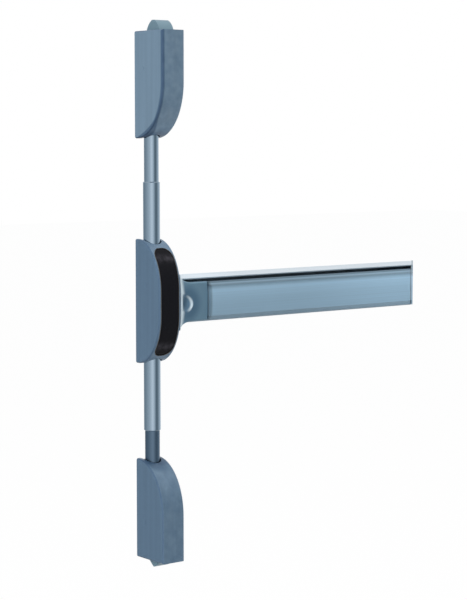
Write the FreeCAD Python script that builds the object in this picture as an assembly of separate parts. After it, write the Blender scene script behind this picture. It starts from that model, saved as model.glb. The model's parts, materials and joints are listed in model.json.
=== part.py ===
import FreeCAD, Part
import math
import os

# Surface vertical rod exit device. Millimetres, +Z up, +X along the bar to the hinge side.
# The door plane is Y = 0 and the device stands on its -Y side, so places off the door are
# given as a depth, which is -Y. The origin is the middle of the centre case on the door.

# Covers
CASE_WIDTH = 40.0
COVER_WALL = 2.0
COVER_EDGE_RADIUS = 3.0
COVER_FOOT = 3.0
CENTRE_DEPTH = 60.0
CENTRE_HALF_HEIGHT = 93.0
CENTRE_FLAT_HALF = 18.0
TOP_CASE_DEPTH = 70.0
TOP_CASE_HEIGHT = 157.5
TOP_CURVE_HEIGHT = 83.0
BOTTOM_CASE_DEPTH = 67.0
BOTTOM_CASE_HEIGHT = 150.6
BOTTOM_CURVE_HEIGHT = 82.0
INSERT_WIDTH = 32.4
INSERT_MARGIN = 13.0
INSERT_CORNER = 13.0
INSERT_RECESS = 0.7
INSERT_THICKNESS = 2.6
MARK_RADIUS = 4.0
MARK_SINK = 0.2
CENTRE_MARK_DEPTH = 30.0
CENTRE_MARK_Z = 25.0
END_MARK_DEPTH = 25.5
END_MARK_INSET = 56.5

# Plates that fix the cases to the door
CHASSIS_THICKNESS = 2.5
END_PLATE_THICKNESS = 1.6
TAB_THICKNESS = 2.0
TAB_HEIGHT = 14.0
TAB_REACH = 16.0
CENTRE_TAB_INSET = 23.0
TONGUE_LENGTH = 42.0
TONGUE_HALF = 12.0
MOUNT_HOLE_RADIUS = 2.75
CENTRE_HOLE_X = 13.0
CENTRE_HOLE_Z = 24.0
END_HOLE_X = 12.0
END_HOLE_INSET = 44.5
END_HOLE_SPACING = 45.0
END_TAB_INSET = 64.5
END_TAB_RISE = 40.0

# Clearances
RUN = 0.3
SHAFT_FIT = 0.05
ROD_GUIDE_FIT = 0.1
FIXED_FIT = 0.05
PLATE_GAP = 0.5
COVER_HOLE_GAP = 2.0

# Rods
OUTER_ROD_RADIUS = 12.7
INNER_ROD_RADIUS = 11.1
ROD_WALL = 2.0
ROD_BACK_GAP = 0.5
ROD_TRAVEL = 15.0
ROD_START = 50.0
TOP_ROD_SPAN = 149.0
TOP_OUTER_VISIBLE = 85.0
BOTTOM_ROD_SPAN = 144.6
BOTTOM_OUTER_VISIBLE = 102.0
ROD_OVERLAP = 30.0
ROD_CHAMFER = 1.0
CLAMP_SCREW_RADIUS = 2.5
CLAMP_SCREW_INSET = 13.0

# Latch bolts
BOLT_HALF_WIDTH = 12.7
BOLT_BACK = 21.0
BOLT_THICKNESS = 32.0
BOLT_BODY = 54.5
TOP_BOLT_THROW = 15.0
TOP_NOSE_FLAT = 5.0
TOP_NOSE_SHIFT = 0.0
TOP_NOSE_BULGE = 0.7
BOTTOM_BOLT_THROW = 10.2
BOTTOM_NOSE_FLAT = 1.5
BOTTOM_NOSE_SHIFT = -3.6
BOTTOM_NOSE_BULGE = 0.55
BOLT_GIVE = 12.0
STEM_RADIUS = 5.0
STEM_ENGAGED = 32.0
BOLT_PIN_RADIUS = 2.0
BOLT_PIN_RISE = 22.0
CARRIER_RISE = 40.0
CARRIER_THICKNESS = 8.0
CARRIER_HALF_WIDTH = 11.0
CARRIER_PLUG = 14.0
BOLT_SPRING_WIRE = 0.8
BOLT_SPRING_TURNS = 8
BOLT_GUIDE_WALL = 2.5
BOLT_GUIDE_HEIGHT = 24.0
BOLT_GUIDE_INSET = 3.5
ROD_GUIDE_INSET = 12.0
ROD_GUIDE_HEIGHT = 8.0
ROD_GUIDE_WALL = 3.0

# Centre cranks
CRANK_X = -6.0
CRANK_Z = 18.0
CRANK_SWEEP = 56.0
DRAW_TRAVEL = 12.0
CRANK_THICKNESS = 3.0
CRANK_HUB_RADIUS = 6.0
CRANK_EYE_RADIUS = 4.6
PIN_RADIUS = 2.5
PIVOT_RADIUS = 3.0
PIVOT_HEAD_RADIUS = 4.5
PIVOT_HEAD = 1.5
LINK_THICKNESS = 3.0
LINK_LEG_WIDTH = 12.0
LINK_EYE = 5.0
LINK_PLUG = 18.0
LINK_PIN_RADIUS = 2.0

# Draw bar
DRAW_THICKNESS = 3.0
DRAW_BACK = 8.0
DRAW_WIDTH = 12.5
DRAW_HEAD_THICKNESS = 3.0
DRAW_HEAD_STEP = 1.0
DRAW_HEAD_WALL = 1.8
DRAW_END_MARGIN = 10.0
DRAW_GUIDE_LENGTH = 12.0
DRAW_GUIDE_WALL = 3.0
DRAW_GUIDE_REACH = 6.0
NEAR_GUIDE_OFFSET = 58.0
FAR_GUIDE_OFFSET = 70.0

# Rail
BAR_LENGTH = 467.6
END_SLOPE = 43.5
RAIL_WALL = 1.6
RAIL_WEB = 2.5
RAIL_FRONT = 50.0
RAIL_BACK_HALF = 36.5
RAIL_LIP_TOP = 34.4
RAIL_LIP_BOTTOM = 31.4

# Flare
FLARE_RIM = 1.0
FLARE_LENGTH = 22.5
FLARE_NECK = 27.6
FLARE_RIM_HALF = 42.0
FLARE_NECK_HALF = 29.4
FLARE_RIM_DEPTH = 60.0
FLARE_NECK_DEPTH = 57.0
FLARE_RIM_CROWN = 3.0
FLARE_NECK_CROWN = 0.8
FLARE_EDGE_RADIUS = 3.0
FLARE_WALL = 2.5
FLARE_STATIONS = 6
FLARE_CHEEK_HALF = 28.0
FLARE_SCREW_REACH = 12.0
BOSS_RADIUS = 5.0
BOSS_Z = 18.5
DISH_LIP = 3.5
DISH_OFFSET = 11.0
DISH_DROP = 0.4
DISH_RADIUS = 13.7
DISH_SINK = 6.9

# Touch pad
PAD_GAP = 1.5
PAD_DROP = 0.6
PAD_HALF = 28.8
PAD_FACE_HALF = 22.5
PAD_CROWN = 62.0
PAD_SHOULDER = 60.5
PAD_EDGE = 56.5
PAD_EDGE_RADIUS = 1.6
PAD_FLANGE_BACK = 38.0
PAD_WALL = 2.0
PAD_FACE_WALL = 2.4
PAD_END_THICKNESS = 2.5
PAD_END_GAP = 1.0
PAD_TRAVEL = 12.0

# Bell cranks in the rail
NEAR_BELL_X = 150.0
FAR_BELL_INSET = 87.9
BELL_DEPTH = 36.0
BELL_ARM = 22.0
BELL_PLATE = 3.0
BELL_HUB_RADIUS = 5.5
BELL_HUB_BELOW = 6.0
BELL_HUB_ABOVE = 9.0
BELL_BRACKET_HALF = 9.0
BELL_BRACKET_PLATE = 2.0
BELL_BRACKET_REACH = 6.0
PAD_BRACKET_THICKNESS = 2.5
PAD_BRACKET_HALF = 8.0
PAD_BRACKET_FOOT_HALF = 12.0
PAD_SPRING_RADIUS = 5.0
PAD_SPRING_WIRE = 0.75
PAD_SPRING_TURNS = 9
PAD_SPRING_Z = -16.0
PAD_SPRING_OFFSET = -30.0
SPRING_END_GAP = 0.2

# Hinge side end, measured along X from the bar's end
END_WALL = 2.5
EAR_START = 14.1
EAR_BACK = 10.0
EAR_FRONT = 24.0
EAR_TOP = 28.0
EAR_SCREW_X = 22.1
BRACKET_THICKNESS = 2.5
BRACKET_START = -57.9
BRACKET_FINISH = 36.1
BRACKET_HALF = 30.0
BRACKET_HOLE_X = 24.1
BRACKET_HOLE_Z = 20.0
ACCESS_HOLE_RADIUS = 5.5

# Screws
SCREW_RADIUS = 2.0
SCREW_HEAD_RADIUS = 3.6
SCREW_HEAD = 1.6
SCREW_GRIP = 3.0
RAIL_SCREW_X = 12.0
RAIL_SCREW_Z = 7.0
RAIL_END_SCREW_INSET = 29.9
RAIL_END_SCREW_Z = 20.0

# Worked out from the sizes above
HALF_WIDTH = CASE_WIDTH / 2
INNER_HALF = HALF_WIDTH - COVER_WALL
PLATE_HALF = INNER_HALF - RUN
INSERT_HALF_HEIGHT = CENTRE_HALF_HEIGHT - INSERT_MARGIN
CENTRE_TAB_Z = CENTRE_HALF_HEIGHT - CENTRE_TAB_INSET
ROD_DEPTH = OUTER_ROD_RADIUS + ROD_BACK_GAP
TOP_CASE_START = CENTRE_HALF_HEIGHT + TOP_ROD_SPAN
BOTTOM_CASE_START = CENTRE_HALF_HEIGHT + BOTTOM_ROD_SPAN
BOLT_MIDDLE = BOLT_BACK + BOLT_THICKNESS / 2
BAR_START = HALF_WIDTH + RUN
BAR_END = BAR_START + BAR_LENGTH
SLOPE = math.radians(END_SLOPE)
BAR_LIMIT = BAR_END + PAD_CROWN * math.tan(SLOPE)
FAR_BELL_X = BAR_END - FAR_BELL_INSET
NEAR_GUIDE_X = NEAR_BELL_X - NEAR_GUIDE_OFFSET
FAR_GUIDE_X = FAR_BELL_X - FAR_GUIDE_OFFSET
RAIL_WEB_FRONT = CHASSIS_THICKNESS + RAIL_WEB
FLARE_RIM_END = BAR_START + FLARE_RIM
FLARE_NECK_START = FLARE_RIM_END + FLARE_LENGTH
FLARE_END = FLARE_NECK_START + FLARE_NECK
PAD_START = FLARE_END + PAD_GAP
PAD_INSET = END_WALL + PAD_END_GAP
PAD_INNER = PAD_SHOULDER - PAD_FACE_WALL
HALF_SWEEP = math.radians(CRANK_SWEEP / 2)
DRIVE_ARM = DRAW_TRAVEL / 2 / math.sin(HALF_SWEEP)
LIFT_ARM = ROD_TRAVEL / 2 / math.sin(HALF_SWEEP)
BELL_HALF_SWEEP = math.asin(PAD_TRAVEL / 2 / BELL_ARM)
SLOT_RADIUS = PIN_RADIUS + RUN
LINK_BACK = ROD_DEPTH - LINK_THICKNESS / 2
DRAW_FRONT = DRAW_BACK + DRAW_WIDTH
HEAD_FRONT = DRAW_FRONT + DRAW_HEAD_STEP
HEAD_BACK = HEAD_FRONT - DRAW_HEAD_THICKNESS
CRANK_BACK = HEAD_FRONT + PLATE_GAP
CRANK_FRONT = CRANK_BACK + CRANK_THICKNESS
ORIGIN = FreeCAD.Vector(0, 0, 0)
UP = FreeCAD.Vector(0, 0, 1)
OUTWARD = FreeCAD.Vector(0, -1, 0)
ALONG = FreeCAD.Vector(1, 0, 0)


def point(x, depth, z):
    return FreeCAD.Vector(x, -depth, z)


def box(x0, x1, depth0, depth1, z0, z1):
    return Part.makeBox(x1 - x0, depth1 - depth0, z1 - z0, point(x0, depth1, z0))


def bar_x(radius, x0, x1, depth, z):
    return Part.makeCylinder(radius, x1 - x0, point(x0, depth, z), ALONG)


def bar_out(radius, x, depth0, depth1, z):
    return Part.makeCylinder(radius, depth1 - depth0, point(x, depth0, z), OUTWARD)


def bar_z(radius, x, depth, z0, z1):
    return Part.makeCylinder(radius, z1 - z0, point(x, depth, z0), UP)


def unchanged(shape):
    return shape


def flipped(shape):
    return shape.mirror(ORIGIN, UP)


def joined(shapes):
    return shapes[0].fuse(shapes[1:]).removeSplitter()


def grouped(shapes):
    return Part.makeCompound(shapes)


def save(name, shape):
    if not shape.isValid():
        print("not valid:", name)
    shape.exportStep("parts/" + name + ".step")


def prism_x(edges, x0, x1):
    face = Part.Face(Part.Wire(Part.__sortEdges__(edges)))
    face.translate(ALONG * x0)
    return face.extrude(ALONG * (x1 - x0))


def line(depth0, z0, depth1, z1):
    return Part.LineSegment(point(0, depth0, z0), point(0, depth1, z1)).toShape()


def arc_through(start, middle, end):
    return Part.Arc(point(0, *start), point(0, *middle), point(0, *end)).toShape()


def quarter(centre_depth, centre_z, reach_depth, reach_z):
    """Quarter ellipse beside its centre, from the depth end to the height end."""
    long_is_z = abs(reach_z) >= abs(reach_depth)
    tip_depth = point(0, centre_depth + reach_depth, centre_z)
    tip_z = point(0, centre_depth, centre_z + reach_z)
    major = tip_z if long_is_z else tip_depth
    minor = tip_depth if long_is_z else tip_z
    ellipse = Part.Ellipse(major, minor, point(0, centre_depth, centre_z))
    return ellipse.toShape(0, math.pi / 2)


def centre_outline(inset):
    """Side view of the centre case: a flat front between two quarter ellipses."""
    reach = CENTRE_DEPTH - COVER_FOOT - inset
    rise = CENTRE_HALF_HEIGHT - CENTRE_FLAT_HALF - inset
    top = CENTRE_HALF_HEIGHT - inset
    return [
        line(0, -top, 0, top),
        line(0, top, COVER_FOOT, top),
        quarter(COVER_FOOT, CENTRE_FLAT_HALF, reach, rise),
        line(CENTRE_DEPTH - inset, CENTRE_FLAT_HALF, CENTRE_DEPTH - inset, -CENTRE_FLAT_HALF),
        quarter(COVER_FOOT, -CENTRE_FLAT_HALF, reach, -rise),
        line(COVER_FOOT, -top, 0, -top),
    ]


def end_outline(start, height, depth, curve, inset):
    """Side view of an end case: square at its bolt end, curved to the door at its rod end."""
    foot_z = start + inset
    end_z = start + height - inset
    curve_z = start + curve
    front = depth - inset
    return [
        line(0, foot_z, 0, end_z),
        line(0, end_z, front, end_z),
        line(front, end_z, front, curve_z),
        quarter(COVER_FOOT, curve_z, front - COVER_FOOT, -(curve - inset)),
        line(COVER_FOOT, foot_z, 0, foot_z),
    ]


def rounded(shape, half_width, radius):
    """Rounds the outer edges of both side faces, apart from the edges on the door."""
    edges = []
    for edge in shape.Edges:
        bounds = edge.BoundBox
        flat_in_x = bounds.XLength < 0.001
        on_side = abs(abs(bounds.Center.x) - half_width) < 0.001
        on_door = abs(bounds.YMax) < 0.001 and bounds.YLength < 0.001
        short_foot = bounds.YLength <= COVER_FOOT + 0.001 and bounds.ZLength < 0.001
        if flat_in_x and on_side and not on_door and not short_foot:
            edges.append(edge)
    return shape.makeFillet(radius, edges)


def shell(outline, inner_outline):
    outer = prism_x(outline, -HALF_WIDTH, HALF_WIDTH)
    inner = prism_x(inner_outline, -INNER_HALF, INNER_HALF)
    return rounded(outer, HALF_WIDTH, COVER_EDGE_RADIUS).cut(inner)


def rod_notch(radius, z0, z1):
    """Space for a rod through a cover's end, open to the door."""
    gap = radius + COVER_HOLE_GAP
    hole = bar_z(gap, 0, ROD_DEPTH, z0, z1)
    return hole.fuse(box(-gap, gap, 0, ROD_DEPTH, z0, z1))


def side_mark(depth, z):
    """Shallow round mark in a cover's lock side."""
    return bar_x(MARK_RADIUS, -HALF_WIDTH, -HALF_WIDTH + MARK_SINK, depth, z)


def side_tab(z, thickness):
    """Folded tab on a plate's hinge side edge, which takes a cover screw."""
    tab = box(PLATE_HALF - TAB_THICKNESS, PLATE_HALF, 0, TAB_REACH,
              z - TAB_HEIGHT / 2, z + TAB_HEIGHT / 2)
    return tab.cut(cover_screw_hole(z, thickness))


def screw_depth(thickness):
    return (thickness + TAB_REACH) / 2


def cover_screw(z, thickness):
    depth = screw_depth(thickness)
    shank = bar_x(SCREW_RADIUS, PLATE_HALF - TAB_THICKNESS - SCREW_GRIP, HALF_WIDTH, depth, z)
    head = bar_x(SCREW_HEAD_RADIUS, HALF_WIDTH, HALF_WIDTH + SCREW_HEAD, depth, z)
    socket = bar_x(SCREW_RADIUS / 2, HALF_WIDTH + SCREW_HEAD / 2, HALF_WIDTH + SCREW_HEAD,
                   depth, z)
    return joined([shank, head]).cut(socket)


def cover_screw_hole(z, thickness):
    return bar_x(SCREW_RADIUS + FIXED_FIT, 0, HALF_WIDTH, screw_depth(thickness), z)


def insert_window(clearance):
    """Rounded window through the front of the centre cover."""
    half = INSERT_WIDTH / 2 - clearance
    top = INSERT_HALF_HEIGHT - clearance
    window = box(-half, half, COVER_FOOT, CENTRE_DEPTH, -top, top)
    edges = [edge for edge in window.Edges if edge.BoundBox.YLength > CENTRE_DEPTH / 2]
    return window.makeFillet(INSERT_CORNER - clearance, edges)


def make_centre_cover():
    cover = shell(centre_outline(0), centre_outline(COVER_WALL))
    top_notch = rod_notch(OUTER_ROD_RADIUS, ROD_START, CENTRE_HALF_HEIGHT)
    side_slot = box(0, HALF_WIDTH, 0, CRANK_BACK, -TONGUE_HALF - RUN, TONGUE_HALF + RUN)
    mark = side_mark(CENTRE_MARK_DEPTH, CENTRE_MARK_Z)
    tools = [top_notch, flipped(top_notch), side_slot, insert_window(0), mark]
    for z in (CENTRE_TAB_Z, -CENTRE_TAB_Z):
        tools.append(cover_screw_hole(z, CHASSIS_THICKNESS))
    save("centre_cover", cover.cut(tools))
    screws = [cover_screw(z, CHASSIS_THICKNESS) for z in (CENTRE_TAB_Z, -CENTRE_TAB_Z)]
    save("centre_cover_screws", grouped(screws))


def make_insert():
    face = prism_x(centre_outline(INSERT_RECESS), -HALF_WIDTH, HALF_WIDTH)
    back = prism_x(centre_outline(INSERT_RECESS + INSERT_THICKNESS), -HALF_WIDTH, HALF_WIDTH)
    save("cover_insert", face.cut(back).common(insert_window(FIXED_FIT)))


def make_chassis():
    top = CENTRE_HALF_HEIGHT - COVER_WALL - RUN
    plate = box(-PLATE_HALF, PLATE_HALF, 0, CHASSIS_THICKNESS, -top, top)
    tongue = box(0, HALF_WIDTH + TONGUE_LENGTH, 0, CHASSIS_THICKNESS, -TONGUE_HALF, TONGUE_HALF)
    tabs = [side_tab(z, CHASSIS_THICKNESS) for z in (CENTRE_TAB_Z, -CENTRE_TAB_Z)]
    notch_start = ROD_START - ROD_TRAVEL - PLATE_GAP
    half = OUTER_ROD_RADIUS + PLATE_GAP
    notch = box(-half, half, 0, CHASSIS_THICKNESS, notch_start, top)
    tools = [notch, flipped(notch)]
    for z in (CRANK_Z, -CRANK_Z):
        tools.append(bar_out(PIVOT_RADIUS, CRANK_X, 0, CHASSIS_THICKNESS, z))
    for x in (-CENTRE_HOLE_X, CENTRE_HOLE_X):
        for z in (-CENTRE_HOLE_Z, CENTRE_HOLE_Z):
            tools.append(bar_out(MOUNT_HOLE_RADIUS, x, 0, CHASSIS_THICKNESS, z))
    for z in (-RAIL_SCREW_Z, RAIL_SCREW_Z):
        tools.append(bar_out(SCREW_RADIUS + FIXED_FIT, BAR_START + RAIL_SCREW_X, 0,
                             CHASSIS_THICKNESS, z))
    save("centre_chassis", joined([plate, tongue] + tabs).cut(tools))


def make_crank_pivots():
    stem = bar_out(PIVOT_RADIUS, CRANK_X, 0, CRANK_FRONT + RUN, CRANK_Z)
    head = bar_out(PIVOT_HEAD_RADIUS, CRANK_X, CRANK_FRONT + RUN,
                   CRANK_FRONT + RUN + PIVOT_HEAD, CRANK_Z)
    pivot = joined([stem, head])
    save("crank_pivots", grouped([pivot, flipped(pivot)]))


def drive_pin_place():
    """Drive pin of the upper crank with the rods thrown."""
    reach = DRIVE_ARM * math.sin(HALF_SWEEP)
    return CRANK_X + reach, CRANK_Z - DRIVE_ARM * math.cos(HALF_SWEEP)


def lift_pin_place():
    """Lift pin of the upper crank with the rods thrown."""
    reach = LIFT_ARM * math.cos(HALF_SWEEP)
    return CRANK_X + reach, CRANK_Z + LIFT_ARM * math.sin(HALF_SWEEP)


def arm_plate(start, end, width, depth0, depth1):
    """Straight arm between two eyes, in the plane of the door."""
    run = math.hypot(end[0] - start[0], end[1] - start[1])
    arm = box(0, run, depth0, depth1, -width / 2, width / 2)
    angle = math.degrees(math.atan2(end[1] - start[1], end[0] - start[0]))
    arm.rotate(ORIGIN, OUTWARD, angle)
    arm.translate(FreeCAD.Vector(start[0], 0, start[1]))
    return arm


def make_crank(name, flip):
    drive = drive_pin_place()
    lift = lift_pin_place()
    pivot = (CRANK_X, CRANK_Z)
    shapes = [bar_out(CRANK_HUB_RADIUS, CRANK_X, CRANK_BACK, CRANK_FRONT, CRANK_Z)]
    tools = [bar_out(PIVOT_RADIUS + SHAFT_FIT, CRANK_X, CRANK_BACK, CRANK_FRONT, CRANK_Z)]
    for place in (drive, lift):
        shapes.append(bar_out(CRANK_EYE_RADIUS, place[0], CRANK_BACK, CRANK_FRONT, place[1]))
        shapes.append(arm_plate(pivot, place, CRANK_EYE_RADIUS * 2, CRANK_BACK, CRANK_FRONT))
        tools.append(bar_out(PIN_RADIUS, place[0], CRANK_BACK, CRANK_FRONT, place[1]))
    drive_pin = bar_out(PIN_RADIUS, drive[0], HEAD_BACK - PLATE_GAP, CRANK_FRONT, drive[1])
    lift_pin = bar_out(PIN_RADIUS, lift[0], LINK_BACK - PLATE_GAP, CRANK_FRONT, lift[1])
    save(name + "_crank", flip(joined(shapes).cut(tools)))
    save(name + "_crank_pins", flip(grouped([drive_pin, lift_pin])))


def slot_z(x, z0, z1, depth0, depth1):
    """Slot along Z for a crank pin."""
    ends = [bar_out(SLOT_RADIUS, x, depth0, depth1, z) for z in (z0, z1)]
    return joined(ends + [box(x - SLOT_RADIUS, x + SLOT_RADIUS, depth0, depth1, z0, z1)])


def slot_x(x0, x1, z, depth0, depth1):
    """Slot along X for a crank pin."""
    ends = [bar_out(SLOT_RADIUS, x, depth0, depth1, z) for x in (x0, x1)]
    return joined(ends + [box(x0, x1, depth0, depth1, z - SLOT_RADIUS, z + SLOT_RADIUS)])


def bell_draw_place(x):
    """Draw bar pin of a bell crank with the pad out, as x and depth."""
    return (x + BELL_ARM * math.sin(BELL_HALF_SWEEP),
            BELL_DEPTH - BELL_ARM * math.cos(BELL_HALF_SWEEP))


def bell_pad_place(x):
    """Pad pin of a bell crank with the pad out, as x and depth."""
    return (x + BELL_ARM * math.cos(BELL_HALF_SWEEP),
            BELL_DEPTH + BELL_ARM * math.sin(BELL_HALF_SWEEP))


def plan_slot(x0, depth0, x1, depth1, z0, z1):
    """Slot seen from above, between two pin centres."""
    ends = [bar_z(SLOT_RADIUS, x0, depth0, z0, z1), bar_z(SLOT_RADIUS, x1, depth1, z0, z1)]
    if x0 == x1:
        middle = box(x0 - SLOT_RADIUS, x0 + SLOT_RADIUS, depth0, depth1, z0, z1)
    else:
        middle = box(x0, x1, depth0 - SLOT_RADIUS, depth0 + SLOT_RADIUS, z0, z1)
    return joined(ends + [middle])


def make_draw_bar():
    drive_x = drive_pin_place()[0]
    half = DRAW_THICKNESS / 2
    head_half_x = SLOT_RADIUS + DRAW_HEAD_WALL
    slot_near = CRANK_Z - DRIVE_ARM
    slot_far = CRANK_Z - DRIVE_ARM * math.cos(HALF_SWEEP)
    head_half_z = slot_far + SLOT_RADIUS + DRAW_HEAD_WALL
    bar_end = bell_draw_place(FAR_BELL_X)[0] + DRAW_END_MARGIN
    bar = box(drive_x - head_half_x, bar_end, DRAW_BACK, DRAW_FRONT, -half, half)
    head = box(drive_x - head_half_x, drive_x + head_half_x, HEAD_BACK, HEAD_FRONT,
               -head_half_z, head_half_z)
    slot = slot_z(drive_x, slot_near, slot_far, HEAD_BACK, HEAD_FRONT)
    tools = [slot, flipped(slot)]
    for x in (NEAR_BELL_X, FAR_BELL_X):
        pin_x, pin_depth = bell_draw_place(x)
        tools.append(plan_slot(pin_x, BELL_DEPTH - BELL_ARM, pin_x, pin_depth, -half, half))
    save("draw_bar", joined([bar, head]).cut(tools))


def make_draw_guides():
    half = DRAW_THICKNESS / 2 + RUN
    front = DRAW_BACK + DRAW_GUIDE_REACH
    guides = []
    for x in (NEAR_GUIDE_X, FAR_GUIDE_X):
        block = box(x, x + DRAW_GUIDE_LENGTH, RAIL_WEB_FRONT, front, -half - DRAW_GUIDE_WALL,
                    half + DRAW_GUIDE_WALL)
        groove = box(x, x + DRAW_GUIDE_LENGTH, DRAW_BACK - RUN, front, -half, half)
        guides.append(block.cut(groove))
    save("draw_bar_guides", grouped(guides))


def make_rod(name, flip, span, outer_visible):
    """Telescoping rod: the outer tube starts in the centre case, the inner ends in the end case."""
    inner_end = CENTRE_HALF_HEIGHT + span + CARRIER_RISE
    step = CENTRE_HALF_HEIGHT + outer_visible
    bore = INNER_ROD_RADIUS + FIXED_FIT
    outer = bar_z(OUTER_ROD_RADIUS, 0, ROD_DEPTH, ROD_START, step)
    rim = [edge for edge in outer.Edges if abs(edge.BoundBox.ZMin - step) < 0.001]
    outer = outer.makeChamfer(ROD_CHAMFER, rim)
    screw_z = step - CLAMP_SCREW_INSET
    screw_hole = bar_x(CLAMP_SCREW_RADIUS, 0, OUTER_ROD_RADIUS, ROD_DEPTH, screw_z)
    pin_z = ROD_START + LINK_PLUG / 2
    pin_hole = bar_x(LINK_PIN_RADIUS, -OUTER_ROD_RADIUS, OUTER_ROD_RADIUS, ROD_DEPTH, pin_z)
    outer = outer.cut([bar_z(bore, 0, ROD_DEPTH, ROD_START, step), screw_hole, pin_hole])
    inner_start = step - ROD_OVERLAP
    inner = bar_z(INNER_ROD_RADIUS, 0, ROD_DEPTH, inner_start, inner_end)
    inner_bore = INNER_ROD_RADIUS - ROD_WALL
    inner = inner.cut(bar_z(inner_bore, 0, ROD_DEPTH, inner_start, inner_end))
    screw = bar_x(CLAMP_SCREW_RADIUS, INNER_ROD_RADIUS, OUTER_ROD_RADIUS, ROD_DEPTH, screw_z)
    seat = bar_z(INNER_ROD_RADIUS, 0, ROD_DEPTH, inner_start, step)
    socket = bar_x(CLAMP_SCREW_RADIUS / 2, OUTER_ROD_RADIUS - RUN, OUTER_ROD_RADIUS,
                   ROD_DEPTH, screw_z)
    save(name + "_outer_rod", flip(outer))
    save(name + "_inner_rod", flip(inner))
    save(name + "_clamp_screw", flip(screw.cut([seat, socket])))


def make_link(name, flip):
    """Blade that hangs from the outer rod's plug and carries the crank's lift pin in a slot."""
    slot_near, slot_height = lift_pin_place()
    slot_far = CRANK_X + LIFT_ARM
    leg_middle = (slot_near + slot_far) / 2
    leg_start = leg_middle - LINK_LEG_WIDTH / 2
    leg_end = leg_middle + LINK_LEG_WIDTH / 2
    shoulder = CRANK_Z + PIVOT_RADIUS + ROD_TRAVEL + PLATE_GAP
    front = LINK_BACK + LINK_THICKNESS
    leg = box(leg_start, leg_end, LINK_BACK, front, slot_height - LINK_EYE, shoulder + LINK_EYE)
    blade_start = ROD_WALL - OUTER_ROD_RADIUS
    blade = box(blade_start, leg_end, LINK_BACK, front, shoulder, ROD_START)
    plug = bar_z(INNER_ROD_RADIUS, 0, ROD_DEPTH, ROD_START, ROD_START + LINK_PLUG)
    pin_z = ROD_START + LINK_PLUG / 2
    reach = OUTER_ROD_RADIUS
    pin = bar_x(LINK_PIN_RADIUS, -reach, reach, ROD_DEPTH, pin_z)
    ends = bar_z(reach, 0, ROD_DEPTH, ROD_START, ROD_START + LINK_PLUG)
    tools = [slot_x(slot_near, slot_far, slot_height, LINK_BACK, front), pin]
    save(name + "_rod_link", flip(joined([leg, blade, plug]).cut(tools)))
    save(name + "_link_pin", flip(pin.common(ends)))


def end_case_places(start, height):
    """Heights that repeat in an end case."""
    end = start + height
    return {
        "start": start,
        "end": end,
        "bolt_foot": end - BOLT_BODY,
        "bolt_pin": end - BOLT_BODY + BOLT_PIN_RISE,
        "carrier_base": start + CARRIER_RISE,
        "carrier_top": start + CARRIER_RISE + CARRIER_THICKNESS,
        "mark": end - END_MARK_INSET,
        "holes": (end - END_HOLE_INSET - END_HOLE_SPACING, end - END_HOLE_INSET),
        "tabs": (start + END_TAB_RISE, end - END_TAB_INSET),
    }


def make_end_case(name, flip, start, height, depth, curve, nose):
    places = end_case_places(start, height)
    outlines = [end_outline(start, height, depth, curve, inset) for inset in (0, COVER_WALL)]
    make_end_cover(name, flip, outlines, places)
    make_end_plate(name, flip, places)
    make_rod_guide(name, flip, places)
    make_bolt_guide(name, flip, places)
    make_bolt(name, flip, places, *nose)
    make_carrier(name, flip, places)
    make_bolt_spring(name, flip, places)
    screws = [cover_screw(z, END_PLATE_THICKNESS) for z in places["tabs"]]
    save(name + "_cover_screws", flip(grouped(screws)))


def make_end_cover(name, flip, outlines, places):
    gap = BOLT_HALF_WIDTH + RUN
    bolt_hole = box(-gap, gap, BOLT_BACK - RUN, BOLT_BACK + BOLT_THICKNESS + RUN,
                    places["bolt_foot"], places["end"])
    tools = [rod_notch(INNER_ROD_RADIUS, places["start"], places["carrier_top"]), bolt_hole,
             side_mark(END_MARK_DEPTH, places["mark"])]
    for z in places["tabs"]:
        tools.append(cover_screw_hole(z, END_PLATE_THICKNESS))
    save(name + "_cover", flip(shell(*outlines).cut(tools)))


def make_end_plate(name, flip, places):
    margin = COVER_WALL + RUN
    plate = box(-PLATE_HALF, PLATE_HALF, 0, END_PLATE_THICKNESS, places["start"] + margin,
                places["end"] - margin)
    tabs = [side_tab(z, END_PLATE_THICKNESS) for z in places["tabs"]]
    tools = []
    for x in (-END_HOLE_X, END_HOLE_X):
        for z in places["holes"]:
            tools.append(bar_out(MOUNT_HOLE_RADIUS, x, 0, END_PLATE_THICKNESS, z))
    save(name + "_base_plate", flip(joined([plate] + tabs).cut(tools)))


def make_rod_guide(name, flip, places):
    """Saddle over the inner rod, with its feet on the base plate."""
    z0 = places["start"] + ROD_GUIDE_INSET
    z1 = z0 + ROD_GUIDE_HEIGHT
    bore = INNER_ROD_RADIUS + ROD_GUIDE_FIT
    half = bore + ROD_GUIDE_WALL
    saddle = box(-half, half, END_PLATE_THICKNESS, ROD_DEPTH + half, z0, z1)
    tools = [bar_z(bore, 0, ROD_DEPTH, z0, z1),
             box(-bore, bore, END_PLATE_THICKNESS, ROD_DEPTH, z0, z1)]
    save(name + "_rod_guide", flip(saddle.cut(tools)))


def make_bolt_guide(name, flip, places):
    """Sleeve round the bolt on a leg that stands on the base plate."""
    z1 = places["end"] - BOLT_GUIDE_INSET
    z0 = z1 - BOLT_GUIDE_HEIGHT
    gap_x = BOLT_HALF_WIDTH + RUN
    half = gap_x + BOLT_GUIDE_WALL
    back = BOLT_BACK - RUN
    front = BOLT_BACK + BOLT_THICKNESS + RUN
    sleeve = box(-half, half, back - BOLT_GUIDE_WALL, front + BOLT_GUIDE_WALL, z0, z1)
    leg = box(-BOLT_HALF_WIDTH, BOLT_HALF_WIDTH, END_PLATE_THICKNESS, back, z0, z1)
    opening = box(-gap_x, gap_x, back, front, z0, z1)
    save(name + "_bolt_guide", flip(joined([sleeve, leg]).cut(opening)))


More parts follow.
